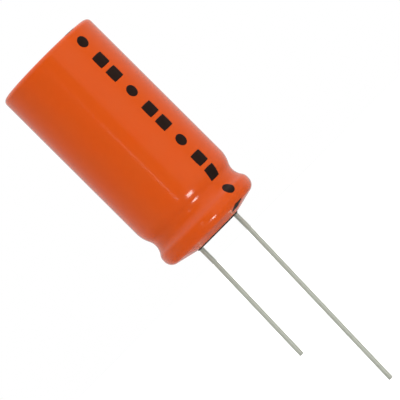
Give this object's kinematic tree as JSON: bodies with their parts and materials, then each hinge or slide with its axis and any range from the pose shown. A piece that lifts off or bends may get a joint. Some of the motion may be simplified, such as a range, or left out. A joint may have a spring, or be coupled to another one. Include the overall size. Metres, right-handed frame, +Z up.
{
  "type": "supercapacitor",
  "caption": "Radial supercapacitor: round aluminium can in an orange sleeve, with bead groove, rubber bung and tinned wire leads of unequal length.",
  "frame": {"origin": "middle of the seating plane, halfway between the leads, on the raised face of the bung", "axes": "+Z up the can from the seating plane to the closed end, +X from the negative lead to the positive lead, leads along -Z"},
  "size_m": [0.0184, 0.0184, 0.0728],
  "materials": {
    "sleeve": "glossy orange shrink film, plain black bars and dots in a row",
    "can": "drawn, with fine turning marks",
    "bung": "matte moulded rubber",
    "leads": "satin tin plate",
    "tabs": "pressed aluminium",
    "electrodes": "matte carbon coat",
    "separators": "fine fibrous paper",
    "tape": "thin amber film"
  },
  "bodies": {
    "root": {"sleeve": "sleeve", "can": "can", "rubber_bung": "bung", "positive_lead_wire": "leads", "negative_lead_wire": "leads", "positive_tab": "tabs", "negative_tab": "tabs", "positive_electrode": "electrodes", "negative_electrode": "electrodes", "inner_separator": "separators", "outer_separator": "separators", "winding_tape": "tape"}
  },
  "joints": []
}
